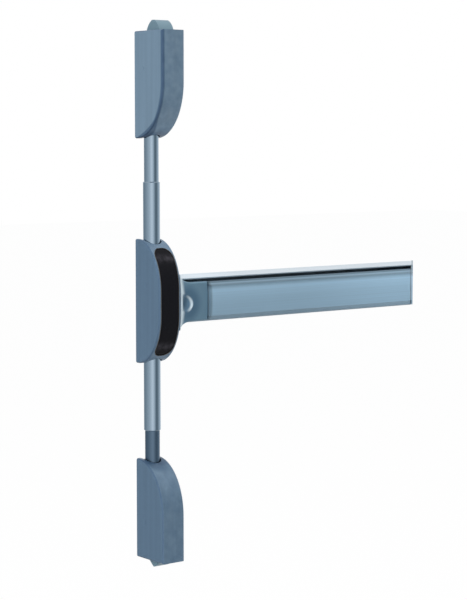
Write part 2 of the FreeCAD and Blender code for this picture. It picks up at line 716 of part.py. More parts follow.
def make_bolt(name, flip, places, throw, nose_flat, nose_shift, nose_bulge):
    """Latch bolt with a nose that slopes to both sides of the door, drawn in by the rod's travel."""
    end = places["end"]
    foot = places["bolt_foot"]
    tip = end + throw
    swell = end + throw * nose_bulge
    back = BOLT_BACK
    front = BOLT_BACK + BOLT_THICKNESS
    flat_back = BOLT_MIDDLE + nose_shift - nose_flat / 2
    flat_front = BOLT_MIDDLE + nose_shift + nose_flat / 2
    outline = [
        line(back, foot, back, end),
        arc_through((back, end), ((back + flat_back) / 2, swell), (flat_back, tip)),
        line(flat_back, tip, flat_front, tip),
        arc_through((flat_front, tip), ((flat_front + front) / 2, swell), (front, end)),
        line(front, end, front, foot),
        line(front, foot, back, foot),
    ]
    bolt = prism_x(outline, -BOLT_HALF_WIDTH, BOLT_HALF_WIDTH)
    bore_top = foot + STEM_ENGAGED + BOLT_GIVE + PLATE_GAP
    bore = bar_z(STEM_RADIUS + SHAFT_FIT, 0, BOLT_MIDDLE, foot, bore_top)
    pin = bar_x(BOLT_PIN_RADIUS, -BOLT_HALF_WIDTH, BOLT_HALF_WIDTH, BOLT_MIDDLE,
                places["bolt_pin"])
    save(name + "_bolt", flip(bolt.cut([bore, pin])))
    save(name + "_bolt_pin", flip(pin))


def make_carrier(name, flip, places):
    """Foot on the rod's end with a stem that lifts and lowers the bolt by its cross pin."""
    base = places["carrier_base"]
    top = places["carrier_top"]
    plate = box(-CARRIER_HALF_WIDTH, CARRIER_HALF_WIDTH, ROD_DEPTH - CARRIER_HALF_WIDTH,
                BOLT_MIDDLE + STEM_RADIUS, base, top)
    plug = bar_z(INNER_ROD_RADIUS - ROD_WALL - FIXED_FIT, 0, ROD_DEPTH, base - CARRIER_PLUG, base)
    stem = bar_z(STEM_RADIUS, 0, BOLT_MIDDLE, top, places["bolt_foot"] + STEM_ENGAGED)
    half = BOLT_PIN_RADIUS + RUN
    slot = box(-STEM_RADIUS, STEM_RADIUS, BOLT_MIDDLE - half, BOLT_MIDDLE + half,
               places["bolt_pin"] - BOLT_GIVE - half, places["bolt_pin"] + half)
    save(name + "_bolt_carrier", flip(joined([plate, plug, stem]).cut(slot)))


def coil(radius, wire, length, turns):
    """Open coil spring along +Z from the origin, wire centre line inset by the wire."""
    height = length - wire * 2
    helix = Part.makeHelix(height / turns, height, radius)
    section = Part.Wire(Part.Circle(FreeCAD.Vector(radius, 0, 0), FreeCAD.Vector(0, 1, 0),
                                    wire).toShape())
    spring = Part.Wire(helix.Edges).makePipeShell([section], True, True)
    spring.translate(UP * wire)
    return spring


def make_bolt_spring(name, flip, places):
    radius = STEM_RADIUS + BOLT_SPRING_WIRE + PLATE_GAP
    length = places["bolt_foot"] - places["carrier_top"] - SPRING_END_GAP * 2
    spring = coil(radius, BOLT_SPRING_WIRE, length, BOLT_SPRING_TURNS)
    spring.translate(point(0, BOLT_MIDDLE, places["carrier_top"] + SPRING_END_GAP))
    save(name + "_bolt_spring", flip(spring))


def end_wedge(inset):
    """All of the bar's space up to the slope of its hinge side end, less an inset."""
    front = PAD_CROWN + RUN
    end = BAR_END - inset / math.cos(SLOPE)
    corners = [
        point(BAR_START, 0, -RAIL_BACK_HALF),
        point(BAR_START, front, -RAIL_BACK_HALF),
        point(end - RUN * math.tan(SLOPE), front, -RAIL_BACK_HALF),
        point(end + PAD_CROWN * math.tan(SLOPE), 0, -RAIL_BACK_HALF),
        point(BAR_START, 0, -RAIL_BACK_HALF),
    ]
    return Part.Face(Part.makePolygon(corners)).extrude(UP * RAIL_BACK_HALF * 2)


def rail_outline(inset):
    """Side view of the rail: a channel whose sides close in a little to the front."""
    back = CHASSIS_THICKNESS + (RAIL_WEB if inset else 0)
    half = RAIL_BACK_HALF - inset
    top = RAIL_LIP_TOP - inset
    bottom = RAIL_LIP_BOTTOM - inset
    return [
        line(back, -half, back, half),
        line(back, half, RAIL_FRONT, top),
        line(RAIL_FRONT, top, RAIL_FRONT, -bottom),
        line(RAIL_FRONT, -bottom, back, -half),
    ]


def make_rail():
    rail = prism_x(rail_outline(0), BAR_START, BAR_LIMIT)
    rail = rail.cut(prism_x(rail_outline(RAIL_WALL), BAR_START, BAR_LIMIT))
    tools = [ear_screw_bar(SCREW_HEAD_RADIUS + FIXED_FIT)]
    for x, z in rail_screw_places():
        tools.append(bar_out(SCREW_RADIUS + FIXED_FIT, x, CHASSIS_THICKNESS, RAIL_WEB_FRONT, z))
    for z in (-BOSS_Z, BOSS_Z):
        tools.append(bar_out(SCREW_RADIUS + FIXED_FIT, FLARE_NECK_START, CHASSIS_THICKNESS,
                             RAIL_WEB_FRONT, z))
    for z in (-BRACKET_HOLE_Z, BRACKET_HOLE_Z):
        tools.append(bar_out(ACCESS_HOLE_RADIUS, BAR_END + BRACKET_HOLE_X, CHASSIS_THICKNESS,
                             RAIL_WEB_FRONT, z))
    save("rail", rail.common(end_wedge(END_WALL + RUN)).cut(tools))


def rail_screw_places():
    near_x = BAR_START + RAIL_SCREW_X
    far_x = BAR_END - RAIL_END_SCREW_INSET
    near = [(near_x, z) for z in (-RAIL_SCREW_Z, RAIL_SCREW_Z)]
    far = [(far_x, z) for z in (-RAIL_END_SCREW_Z, RAIL_END_SCREW_Z)]
    return near + far


def make_rail_screws():
    screws = []
    for x, z in rail_screw_places():
        shank = bar_out(SCREW_RADIUS, x, 0, RAIL_WEB_FRONT, z)
        head = bar_out(SCREW_HEAD_RADIUS, x, RAIL_WEB_FRONT, RAIL_WEB_FRONT + SCREW_HEAD, z)
        screws.append(joined([shank, head]))
    save("rail_screws", grouped(screws))


def flare_front(angle):
    """Depth of the flare's front. The angle is 0 at the rim and a right angle at the neck."""
    return FLARE_RIM_DEPTH - (FLARE_RIM_DEPTH - FLARE_NECK_DEPTH) * math.sin(angle)


def flare_section(x, angle, inset, back):
    """Section of the flare with a crowned front and rounded corners."""
    turn = math.sin(angle)
    half = FLARE_RIM_HALF - (FLARE_RIM_HALF - FLARE_NECK_HALF) * turn - inset
    crown = FLARE_RIM_CROWN - (FLARE_RIM_CROWN - FLARE_NECK_CROWN) * turn
    front = flare_front(angle) - inset
    edge = front - crown
    radius = FLARE_EDGE_RADIUS
    cut = radius * (1 - math.sqrt(0.5))
    low = -PAD_DROP - half
    high = -PAD_DROP + half
    points = [
        (back, low), (edge - radius, low), (edge - cut, low + cut), (edge, low + radius),
        (front, -PAD_DROP), (edge, high - radius), (edge - cut, high - cut),
        (edge - radius, high), (back, high),
    ]
    corners = [point(x, depth, z) for depth, z in points]
    return Part.Wire([
        Part.LineSegment(corners[0], corners[1]).toShape(),
        Part.Arc(corners[1], corners[2], corners[3]).toShape(),
        Part.Arc(corners[3], corners[4], corners[5]).toShape(),
        Part.Arc(corners[5], corners[6], corners[7]).toShape(),
        Part.LineSegment(corners[7], corners[8]).toShape(),
        Part.LineSegment(corners[8], corners[0]).toShape(),
    ])


def flare_body(inset, back):
    """Trumpet from the rim beside the centre case to the neck beside the pad."""
    rim = Part.makeLoft([flare_section(BAR_START, 0, inset, back),
                         flare_section(FLARE_RIM_END, 0, inset, back)], True, True)
    sections = []
    for step in range(FLARE_STATIONS + 1):
        angle = math.pi / 2 * step / FLARE_STATIONS
        x = FLARE_RIM_END + FLARE_LENGTH * (1 - math.cos(angle))
        sections.append(flare_section(x, angle, inset, back))
    trumpet = Part.makeLoft(sections, True, False)
    neck = Part.makeLoft([flare_section(FLARE_NECK_START, math.pi / 2, inset, back),
                          flare_section(FLARE_END, math.pi / 2, inset, back)], True, True)
    return joined([rim, trumpet, neck])


def make_flare():
    """Cast flare with a round finger dish in its front, on bosses that stand on the rail's web."""
    back = RAIL_FRONT + RUN
    dish_x = BAR_START + DISH_OFFSET
    dish_z = -PAD_DROP - DISH_DROP
    angle = math.acos(1 - (dish_x - FLARE_RIM_END) / FLARE_LENGTH)
    dish_front = flare_front(angle)
    sphere_radius = (DISH_RADIUS ** 2 + DISH_SINK ** 2) / (2 * DISH_SINK)
    reach = sphere_radius + FLARE_WALL
    centre = point(dish_x, dish_front - DISH_SINK + sphere_radius, dish_z)
    dish = Part.makeSphere(sphere_radius, centre)
    dish_back = Part.makeSphere(reach, centre)
    dish_side = box(BAR_START + DISH_LIP, dish_x + reach, 0, dish_front + reach,
                    dish_z - reach, dish_z + reach)
    floor_space = box(BAR_START, dish_x + reach, RAIL_WEB_FRONT, dish_front - FLARE_WALL,
                      dish_z - reach, dish_z + reach)
    body = flare_body(0, back).cut(dish.common(dish_side))
    body = body.cut(flare_body(FLARE_WALL, back).cut(dish_back))
    shapes = [body, dish_back.common(floor_space).cut(dish)]
    tools = []
    for side in (-1, 1):
        outer = side * FLARE_CHEEK_HALF
        inner = side * (FLARE_CHEEK_HALF - FLARE_WALL)
        z = side * BOSS_Z
        shapes.append(box(FLARE_NECK_START, FLARE_END, RAIL_WEB_FRONT, back + FLARE_WALL,
                          min(inner, outer), max(inner, outer)))
        shapes.append(box(FLARE_NECK_START, FLARE_NECK_START + FLARE_WALL, RAIL_WEB_FRONT,
                          FLARE_NECK_DEPTH - FLARE_WALL, min(z, outer), max(z, outer)))
        shapes.append(bar_out(BOSS_RADIUS, FLARE_NECK_START, RAIL_WEB_FRONT,
                              FLARE_NECK_DEPTH - FLARE_WALL / 2, z))
        tools.append(bar_out(SCREW_RADIUS, FLARE_NECK_START, RAIL_WEB_FRONT,
                             RAIL_WEB_FRONT + FLARE_SCREW_REACH, z))
    save("flare_casting", joined(shapes).cut(tools))


def make_flare_screws():
    screws = []
    for z in (-BOSS_Z, BOSS_Z):
        shank = bar_out(SCREW_RADIUS, FLARE_NECK_START, CHASSIS_THICKNESS,
                        RAIL_WEB_FRONT + FLARE_SCREW_REACH, z)
        head = bar_out(SCREW_HEAD_RADIUS, FLARE_NECK_START, CHASSIS_THICKNESS - SCREW_HEAD,
                       CHASSIS_THICKNESS, z)
        screws.append(joined([shank, head]))
    save("flare_screws", grouped(screws))


def pad_front_outline(back):
    """Crowned face between two bevels, closed by a straight back at the given depth."""
    edge_z = PAD_HALF - PAD_EDGE_RADIUS
    turn = PAD_EDGE_RADIUS * (1 - math.sqrt(0.5))
    side = PAD_EDGE - PAD_EDGE_RADIUS
    return [
        line(back, -PAD_HALF, side, -PAD_HALF),
        arc_through((side, -PAD_HALF), (PAD_EDGE - turn, turn - PAD_HALF), (PAD_EDGE, -edge_z)),
        line(PAD_EDGE, -edge_z, PAD_SHOULDER, -PAD_FACE_HALF),
        arc_through((PAD_SHOULDER, -PAD_FACE_HALF), (PAD_CROWN, 0), (PAD_SHOULDER, PAD_FACE_HALF)),
        line(PAD_SHOULDER, PAD_FACE_HALF, PAD_EDGE, edge_z),
        arc_through((PAD_EDGE, edge_z), (PAD_EDGE - turn, PAD_HALF - turn), (side, PAD_HALF)),
        line(side, PAD_HALF, back, PAD_HALF),
        line(back, PAD_HALF, back, -PAD_HALF),
    ]


def pad_hollow(x0, x1):
    """Inside of the pad: a flat behind the face and a straight run behind each bevel."""
    half = PAD_HALF - PAD_WALL
    edge = PAD_EDGE - PAD_FACE_WALL
    outline = [
        line(PAD_FLANGE_BACK, -half, edge, -half),
        line(edge, -half, PAD_INNER, -PAD_FACE_HALF),
        line(PAD_INNER, -PAD_FACE_HALF, PAD_INNER, PAD_FACE_HALF),
        line(PAD_INNER, PAD_FACE_HALF, edge, half),
        line(edge, half, PAD_FLANGE_BACK, half),
        line(PAD_FLANGE_BACK, half, PAD_FLANGE_BACK, -half),
    ]
    return prism_x(outline, x0, x1)


def lowered(shape):
    """The pad lies a little below the middle of the rail."""
    shape.translate(UP * -PAD_DROP)
    return shape


def make_pad():
    """Touch pad channel and the plates that close its two ends."""
    start = PAD_START + PAD_END_THICKNESS
    solid = prism_x(pad_front_outline(PAD_FLANGE_BACK), start, BAR_LIMIT)
    channel_space = end_wedge(PAD_INSET + PAD_END_THICKNESS)
    channel = solid.common(channel_space).cut(pad_hollow(start, BAR_LIMIT))
    near_end = prism_x(pad_front_outline(PAD_FLANGE_BACK), PAD_START, start)
    far_end = solid.common(end_wedge(PAD_INSET)).cut(channel_space)
    save("touch_pad", lowered(channel))
    save("pad_end_caps", lowered(grouped([near_end, far_end])))


def plan_arm(start, end, z0, z1):
    """Straight arm seen from above, between two places given as x and depth."""
    run = math.hypot(end[0] - start[0], end[1] - start[1])
    arm = box(0, run, -CRANK_EYE_RADIUS, CRANK_EYE_RADIUS, z0, z1)
    angle = math.degrees(math.atan2(start[1] - end[1], end[0] - start[0]))
    arm.rotate(ORIGIN, UP, angle)
    arm.translate(FreeCAD.Vector(start[0], -start[1], 0))
    return arm


def make_bell(name, x):
    """Bell crank on an upright pin: one arm to the draw bar, one to the pad."""
    draw_place = bell_draw_place(x)
    pad_place = bell_pad_place(x)
    z0 = DRAW_THICKNESS / 2 + PLATE_GAP
    z1 = z0 + BELL_PLATE
    shapes = [bar_z(BELL_HUB_RADIUS, x, BELL_DEPTH, -BELL_HUB_BELOW, BELL_HUB_ABOVE)]
    tools = [bar_z(PIVOT_RADIUS + SHAFT_FIT, x, BELL_DEPTH, -BELL_HUB_BELOW, BELL_HUB_ABOVE)]
    for place in (draw_place, pad_place):
        shapes.append(bar_z(CRANK_EYE_RADIUS, place[0], place[1], z0, z1))
        shapes.append(plan_arm((x, BELL_DEPTH), place, z0, z1))
        tools.append(bar_z(PIN_RADIUS, place[0], place[1], z0, z1))
    low = -DRAW_THICKNESS / 2 - PLATE_GAP
    high = z1 + PLATE_GAP + PAD_BRACKET_THICKNESS + PLATE_GAP
    draw_pin = bar_z(PIN_RADIUS, draw_place[0], draw_place[1], low, z1)
    pad_pin = bar_z(PIN_RADIUS, pad_place[0], pad_place[1], z0, high)
    save(name + "_bell_crank", joined(shapes).cut(tools))
    save(name + "_bell_pins", grouped([draw_pin, pad_pin]))


def make_bell_bracket(name, x):
    """Bracket on the rail's web with a cheek above and below the bell crank's hub."""
    below = -BELL_HUB_BELOW - RUN
    above = BELL_HUB_ABOVE + RUN
    low = below - BELL_BRACKET_PLATE
    high = above + BELL_BRACKET_PLATE
    reach = BELL_DEPTH + BELL_BRACKET_REACH
    x0 = x - BELL_BRACKET_HALF
    x1 = x + BELL_BRACKET_HALF
    shapes = [
        box(x0, x1, RAIL_WEB_FRONT, RAIL_WEB_FRONT + BELL_BRACKET_PLATE, low, high),
        box(x0, x1, RAIL_WEB_FRONT, reach, low, below),
        box(x0, x1, RAIL_WEB_FRONT, reach, above, high),
    ]
    pivot = bar_z(PIVOT_RADIUS, x, BELL_DEPTH, low, high)
    save(name + "_bell_bracket", joined(shapes).cut(pivot))
    return pivot


def make_pad_brackets():
    """Brackets inside the pad, each with a slot for a bell crank's pad pin."""
    z0 = DRAW_THICKNESS / 2 + PLATE_GAP + BELL_PLATE + PLATE_GAP
    z1 = z0 + PAD_BRACKET_THICKNESS
    brackets = []
    for x in (NEAR_BELL_X, FAR_BELL_X):
        pin_x, pin_depth = bell_pad_place(x)
        far = x + BELL_ARM
        middle = (pin_x + far) / 2
        x0 = middle - PAD_BRACKET_HALF
        x1 = middle + PAD_BRACKET_HALF
        blade = box(x0, x1, pin_depth - CRANK_EYE_RADIUS, PAD_INNER, z0, z1)
        foot = box(x0, x1, PAD_INNER - PAD_BRACKET_THICKNESS, PAD_INNER,
                   -PAD_BRACKET_FOOT_HALF, PAD_BRACKET_FOOT_HALF)
        slot = plan_slot(pin_x, pin_depth, far, pin_depth, z0, z1)
        brackets.append(joined([blade, foot]).cut(slot))
    save("pad_brackets", grouped(brackets))


def make_pad_spring(name, x):
    length = PAD_INNER - RAIL_WEB_FRONT - SPRING_END_GAP * 2
    spring = coil(PAD_SPRING_RADIUS, PAD_SPRING_WIRE, length, PAD_SPRING_TURNS)
    spring.rotate(ORIGIN, ALONG, 90)
    spring.translate(point(x, RAIL_WEB_FRONT + SPRING_END_GAP, PAD_SPRING_Z))
    save(name + "_pad_spring", spring)


def bar_outline():
    """Outline of the whole bar seen from its end: the rail's sides and the pad's front."""
    top = PAD_HALF - PAD_DROP
    bottom = -PAD_HALF - PAD_DROP
    face_top = PAD_FACE_HALF - PAD_DROP
    face_bottom = -PAD_FACE_HALF - PAD_DROP
    return [
        line(0, -RAIL_BACK_HALF, 0, RAIL_BACK_HALF),
        line(0, RAIL_BACK_HALF, RAIL_FRONT, RAIL_LIP_TOP),
        line(RAIL_FRONT, RAIL_LIP_TOP, PAD_EDGE, top),
        line(PAD_EDGE, top, PAD_SHOULDER, face_top),
        arc_through((PAD_SHOULDER, face_top), (PAD_CROWN, -PAD_DROP), (PAD_SHOULDER, face_bottom)),
        line(PAD_SHOULDER, face_bottom, PAD_EDGE, bottom),
        line(PAD_EDGE, bottom, RAIL_FRONT, -RAIL_LIP_BOTTOM),
        line(RAIL_FRONT, -RAIL_LIP_BOTTOM, 0, -RAIL_BACK_HALF),
    ]


def make_end_cap():
    """Plate that closes the sloped end of the rail, with an ear on the rail's lower wall."""
    plate = prism_x(bar_outline(), BAR_START, BAR_LIMIT)
    plate = plate.common(end_wedge(0)).cut(end_wedge(END_WALL))
    ear = box(BAR_END + EAR_START, BAR_LIMIT, EAR_BACK, EAR_FRONT, -RAIL_BACK_HALF, -EAR_TOP)
    rail_inside = prism_x(rail_outline(RAIL_WALL + FIXED_FIT), BAR_START, BAR_LIMIT)
    ear = ear.common(rail_inside).common(end_wedge(0))
    save("end_cap", joined([plate, ear]).cut(ear_screw_bar(SCREW_RADIUS + FIXED_FIT)))


def ear_screw_bar(radius):
    """Upright bar on the line of the end cap's screw, from below the rail to above the ear."""
    return bar_z(radius, BAR_END + EAR_SCREW_X, (EAR_BACK + EAR_FRONT) / 2, -RAIL_BACK_HALF,
                 -EAR_TOP)


def make_end_cap_screw():
    """Screw from below, with its head flush in the rail's lower wall."""
    rail_body = prism_x(rail_outline(0), BAR_START, BAR_LIMIT)
    rail_inside = prism_x(rail_outline(RAIL_WALL), BAR_START, BAR_LIMIT)
    head = ear_screw_bar(SCREW_HEAD_RADIUS).cut(rail_inside)
    save("end_cap_screw", joined([ear_screw_bar(SCREW_RADIUS), head]).common(rail_body))


def make_end_bracket():
    plate = box(BAR_END + BRACKET_START, BAR_END + BRACKET_FINISH, 0, BRACKET_THICKNESS,
                -BRACKET_HALF, BRACKET_HALF)
    tools = []
    for z in (-BRACKET_HOLE_Z, BRACKET_HOLE_Z):
        tools.append(bar_out(MOUNT_HOLE_RADIUS, BAR_END + BRACKET_HOLE_X, 0,
                             BRACKET_THICKNESS, z))
    for x, z in rail_screw_places():
        tools.append(bar_out(SCREW_RADIUS + FIXED_FIT, x, 0, BRACKET_THICKNESS, z))
    save("end_bracket", plate.cut(tools))


def main():
    os.makedirs("parts", exist_ok=True)
    make_centre_cover()
    make_insert()
    make_chassis()
    make_crank_pivots()
    make_draw_bar()
    make_draw_guides()
    for name, flip in (("top", unchanged), ("bottom", flipped)):
        make_crank(name, flip)
        make_link(name, flip)
    make_rod("top", unchanged, TOP_ROD_SPAN, TOP_OUTER_VISIBLE)
    make_rod("bottom", flipped, BOTTOM_ROD_SPAN, BOTTOM_OUTER_VISIBLE)
    top_nose = (TOP_BOLT_THROW, TOP_NOSE_FLAT, TOP_NOSE_SHIFT, TOP_NOSE_BULGE)
    make_end_case("top", unchanged, TOP_CASE_START, TOP_CASE_HEIGHT, TOP_CASE_DEPTH,
                  TOP_CURVE_HEIGHT, top_nose)
    bottom_nose = (BOTTOM_BOLT_THROW, BOTTOM_NOSE_FLAT, BOTTOM_NOSE_SHIFT, BOTTOM_NOSE_BULGE)
    make_end_case("bottom", flipped, BOTTOM_CASE_START, BOTTOM_CASE_HEIGHT, BOTTOM_CASE_DEPTH,
                  BOTTOM_CURVE_HEIGHT, bottom_nose)
    make_rail()
    make_rail_screws()
    make_flare()
    make_flare_screws()
    make_pad()
    make_pad_brackets()
    pivots = []
    for name, x in (("near", NEAR_BELL_X), ("far", FAR_BELL_X)):
        make_bell(name, x)
        pivots.append(make_bell_bracket(name, x))
        make_pad_spring(name, x + PAD_SPRING_OFFSET)
    save("bell_pivots", grouped(pivots))
    make_end_cap()
    make_end_cap_screw()
    make_end_bracket()


main()
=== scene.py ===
import json
import math

import bpy
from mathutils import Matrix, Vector

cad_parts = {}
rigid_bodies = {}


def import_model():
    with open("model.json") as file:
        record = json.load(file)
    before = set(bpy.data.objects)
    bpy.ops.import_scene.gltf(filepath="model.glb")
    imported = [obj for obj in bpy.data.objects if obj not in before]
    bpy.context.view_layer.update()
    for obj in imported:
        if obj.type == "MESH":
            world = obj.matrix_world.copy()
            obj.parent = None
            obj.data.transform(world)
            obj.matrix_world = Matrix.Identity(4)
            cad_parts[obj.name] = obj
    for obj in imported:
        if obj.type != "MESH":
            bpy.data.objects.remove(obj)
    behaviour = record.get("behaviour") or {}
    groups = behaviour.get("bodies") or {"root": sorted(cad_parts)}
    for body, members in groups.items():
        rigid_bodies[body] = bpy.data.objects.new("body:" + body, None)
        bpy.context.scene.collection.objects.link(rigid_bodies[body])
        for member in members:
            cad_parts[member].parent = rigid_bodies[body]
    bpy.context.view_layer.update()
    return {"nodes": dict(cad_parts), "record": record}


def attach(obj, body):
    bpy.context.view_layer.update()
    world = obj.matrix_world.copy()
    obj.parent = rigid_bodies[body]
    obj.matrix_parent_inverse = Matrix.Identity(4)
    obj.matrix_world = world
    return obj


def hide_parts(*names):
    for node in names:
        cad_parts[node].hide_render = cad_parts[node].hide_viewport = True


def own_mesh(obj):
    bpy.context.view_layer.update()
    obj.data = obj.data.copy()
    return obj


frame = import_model()
nodes = frame["nodes"]

# Camera, fitted to the edges of the cases, rods and rail in the photograph
CAMERA_TARGET = Vector((0.1028, -0.0797, 0.0005))
CAMERA_AZIMUTH = math.radians(-37.8)
CAMERA_ELEVATION = math.radians(5.27)
CAMERA_DISTANCE = 2.713
CAMERA_LENS = 108.5
CAMERA_REACH = 100.0

# Studio
FLOOR_HEIGHT = -0.75
FLOOR_SIZE = 30.0
FLOOR_WHITE = 0.975
FLOOR_COLOUR = (0.9, 0.9, 0.9, 1)
FLOOR_ROUGHNESS = 0.9
# Name, place, size in metres and power in watts
LAMPS = [("key", (-2.6, -1.3, 2.2), (1.8, 1.8), 95), ("top", (0.3, -0.3, 3.0), (2.5, 1.5), 40)]
LAMP_AIM = Vector((0.1, -0.05, 0.0))
WORLD_LIGHT = 0.55
WORLD_COLOUR = (0.94, 0.97, 1.0, 1)
WHITE = (1, 1, 1, 1)
# Brightness that metal reflects, by azimuth in degrees: 0 is in front, +90 the hinge side
REFLECTED = [(-180, 0.3), (-165, 0.3), (-142, 0.36), (-118, 0.42), (-89, 0.54), (-60, 0.68),
             (-45, 0.84), (-31, 0.95), (-17, 0.82), (-2, 0.6), (13, 0.3), (29, 0.18), (40, 0.24),
             (67, 0.5), (94, 0.74), (125, 1.0), (174, 1.0), (180, 0.3)]
COOL_SHADE = 0.14
# Steep reflections, up or down, go over to one brightness each
STEEP_START = 0.3
STEEP_END = 0.7
HIGH_BRIGHTNESS = 0.6
LOW_BRIGHTNESS = 0.35

# Shapes of the CAD that materials and added pieces follow, in metres
TOP_CASE_START = 0.242
TOP_CURVE = 0.083
TOP_CASE_DEPTH = 0.070
CASE_HALF_WIDTH = 0.020
CASE_FOOT = 0.003
ROD_DEPTH = 0.0132
CENTRE_DEPTH = 0.060
CENTRE_FLAT_HALF = 0.018
CENTRE_HALF_HEIGHT = 0.093

# Covers: the top case's dark crease, painted shade along its front left edge that widens into a
# painted shadow near the rod, by distance from that edge in metres
CREASE_START = 0.0026
CREASE_END = 0.0056
CREASE_WIDEN = 0.009
CREASE_WIDEN_HEIGHT = 0.03
CREASE_TONE = 0.5
CASE_SLACK = 0.001
# Covers: how far a surface faces left (0 to 1) where its tone changes, for the painted shade on
# the rounded left edges and on the left sides
TURN_START = 0.1
TURN_END = 0.4
TURN_FADE = 0.8
SIDE_START = 0.6
SIDE_END = 0.98
EDGE_SHADE = 0.35
# Covers: shadow round the rods at the end cases, by distance from the rod's axis, and clouds
ROD_SHADE = 0.48
ROD_SHADE_START = 0.0130
ROD_SHADE_END = 0.0330
END_CASE_START = 0.2
CLOUD_SCALE = 70
CLOUD_SHADE = 0.11
# Covers: painted shade, darker down the door where the light falls off, between these heights,
# and more of it on the left sides
LOWER_START = 0.10
LOWER_END = 0.24
LOWER_SHADE = 0.17
LOWER_SIDE_SHADE = 0.15

# Flare: a painted highlight beside the case and on the dish's far side, and painted shade round
# its dish, in metres
FLARE_GLOW_START = 0.0248
FLARE_GLOW_END = 0.0325
FLARE_GLOW_NARROWING = 0.12
DISH_MIDDLE = (0.0313, -0.0030)
DISH_SHADE = 0.66
DISH_SHADE_START = 0.0170
DISH_SHADE_END = 0.0340
DISH_GLOW = 0.62
DISH_GLOW_ACROSS = 0.0090
RIM_INSIDE = (0.0085, 0.0115)
RIM_OUTSIDE = (0.0120, 0.0140)
SHINE_COLOUR = (0.84, 0.95, 1.0)

# Pad and rail
# Painted shadow of the flare on the pad, darker beside the seam
SEAM_TONE = 0.6
SEAM_START = 0.0740
SEAM_END = 0.0785
# Tone of the pad by height, in metres: painted shade on the two bevels, which are darker, and a
# painted highlight, a lighter line, on the upper one
PAD_TONES = [(-0.0296, 0.62), (-0.0235, 0.60), (-0.0229, 0.84), (-0.0126, 0.87), (-0.0006, 0.89),
             (0.0094, 0.94), (0.0154, 1.0), (0.0180, 0.88), (0.0216, 0.58), (0.0222, 0.38),
             (0.0232, 0.40), (0.0248, 0.60), (0.0266, 0.38), (0.0284, 0.36)]
# Painted light: the pad lighter towards the hinge side, between these distances
PAD_FAR_TONE = 1.25
PAD_FAR_START = 0.22
PAD_FAR_END = 0.48
# Painted light: the rail lighter beside the flare, between these distances
RAIL_NEAR_TONE = 1.22
RAIL_NEAR_START = 0.07
RAIL_NEAR_END = 0.16

# Insert: painted glints near both ends, by height, and the bead round it, in metres
INSERT_DARK = (0.006, 0.006, 0.008)
INSERT_LIGHT = (0.012, 0.012, 0.014)
GLINT_COLOUR = (0.04, 0.038, 0.045)
GLINT_START = 0.056
GLINT_MIDDLE = 0.066
GLINT_END = 0.075
INSERT_HALF_WIDTH = 0.0162
INSERT_HALF_HEIGHT = 0.080
INSERT_CORNER = 0.013
BEZEL_RADIUS = 0.00055
BEZEL_SINK = 0.0001
BEZEL_SIDES = 8
BEZEL_CORNER_STEPS = 12
BEZEL_COLOUR = (0.20, 0.18, 0.16)

# How much bluer the lacquers' painted shade turns where it is dark, then the grain of the
# finishes: noise scales for each metre, and bump depths in metres
DARK_COOLING = 0.25
FLAKE_SCALE = 1400
STREAK_STRETCH = (150, 150, 6)
GLOSS_SCALE = 60
GLOSS_SPREAD = 0.04
PEEL_SCALE = 500
PEEL_DEPTH = 0.0002
GRAIN_DEPTH = 0.0001
GRAIN_SPREAD = 0.05
DRAWN_ALONG_X = (3, 900, 900)
DRAWN_ALONG_Z = (900, 900, 3)
SMOOTH_ANGLE = math.radians(28)

# Finishes of nodes that differ a little from the rest of their material slot; the lower inner
# rod's is darker, as painted shade
OWN_FINISH = {"flare_casting": "flare_finish", "bottom_inner_rod": "shaded_rod_finish",
              "end_cap": "pad_finish"}


def make_camera():
    data = bpy.data.cameras.new("camera")
    data.lens = CAMERA_LENS
    data.clip_end = CAMERA_REACH
    camera = bpy.data.objects.new("camera", data)
    bpy.context.scene.collection.objects.link(camera)
    level = math.cos(CAMERA_ELEVATION)
    back = Vector((math.sin(CAMERA_AZIMUTH) * level, -math.cos(CAMERA_AZIMUTH) * level,
                   math.sin(CAMERA_ELEVATION)))
    camera.location = CAMERA_TARGET + back * CAMERA_DISTANCE
    camera.rotation_euler = back.to_track_quat("Z", "Y").to_euler()
    bpy.context.scene.camera = camera


class Tree:
    """A node tree built up in short steps."""

    def __init__(self, tree):
        self.tree = tree

    def node(self, kind, **values):
        made = self.tree.nodes.new(kind)
        for key, value in values.items():
            setattr(made, key, value)
        return made

    def feed(self, value, socket):
        """Links an output to a socket, or sets the socket to a plain value."""
        if isinstance(value, bpy.types.NodeSocket):
            self.tree.links.new(value, socket)
        else:
            socket.default_value = value

    def math(self, operation, first, second=0.0, clamp=False):
        made = self.node("ShaderNodeMath", operation=operation, use_clamp=clamp)
        self.feed(first, made.inputs[0])
        self.feed(second, made.inputs[1])
        return made.outputs[0]

    def distance(self, first, second):
        """Length of the line that goes these two amounts along two axes."""
        square = self.math("ADD", self.math("MULTIPLY", first, first),
                           self.math("MULTIPLY", second, second))
        return self.math("SQRT", square)

    def mapped(self, value, low, high, start=0.3, end=0.7, smooth=False):
        """Maps a value between start and end, which suit noise, onto low to high."""
        made = self.node("ShaderNodeMapRange")
        made.interpolation_type = "SMOOTHSTEP" if smooth else "LINEAR"
        self.feed(value, made.inputs["Value"])
        self.feed(start, made.inputs["From Min"])
        self.feed(end, made.inputs["From Max"])
        self.feed(low, made.inputs["To Min"])
        self.feed(high, made.inputs["To Max"])
        return made.outputs["Result"]

    def ramp(self, value, stops, cool=0.0):
        """Tone that a value picks from a list of (value, tone) pairs, bluer where it is dark."""
        first, last = stops[0][0], stops[-1][0]
        made = self.node("ShaderNodeValToRGB")
        elements = made.color_ramp.elements
        while len(elements) < len(stops):
            elements.new(0.5)
        for element, (place, tone) in zip(elements, stops):
            element.position = (place - first) / (last - first)
            element.color = (tone ** (1 + cool), tone, tone ** (1 - cool / 2), 1)
        self.feed(self.mapped(value, 0.0, 1.0, first, last), made.inputs["Fac"])
        return made.outputs["Color"]

    def axes(self, vector):
        made = self.node("ShaderNodeSeparateXYZ")
        self.feed(vector, made.inputs[0])
        return made.outputs


